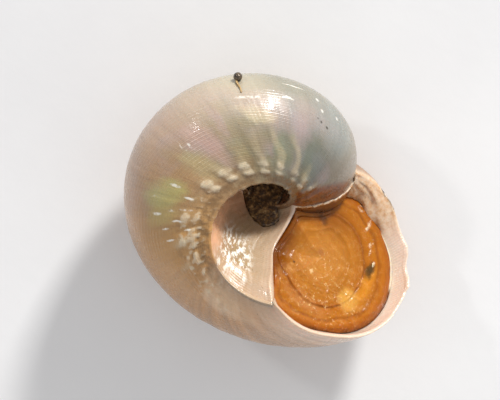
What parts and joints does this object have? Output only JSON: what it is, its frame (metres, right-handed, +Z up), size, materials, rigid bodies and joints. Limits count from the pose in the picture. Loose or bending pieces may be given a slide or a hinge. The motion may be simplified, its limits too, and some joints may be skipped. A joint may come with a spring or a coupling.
{
  "type": "top shell",
  "caption": "Small pearly top shell lying base up, its mouth closed by an amber horny disc and dark silt in its umbilicus.",
  "frame": {"origin": "centre of the shell's bounding box, at the surface it lies on", "axes": "+Z up, away from the surface, with the shell's base uppermost; +X along its longest side"},
  "size_m": [0.011, 0.009, 0.0065],
  "materials": {
    "shell": "pearly, glossy, finely ridged",
    "operculum": "wet amber horn",
    "umbilicus_silt": "wet grains"
  },
  "bodies": {
    "root": {"shell": "shell", "operculum": "operculum", "umbilicus_silt": "umbilicus_silt"}
  },
  "joints": []
}
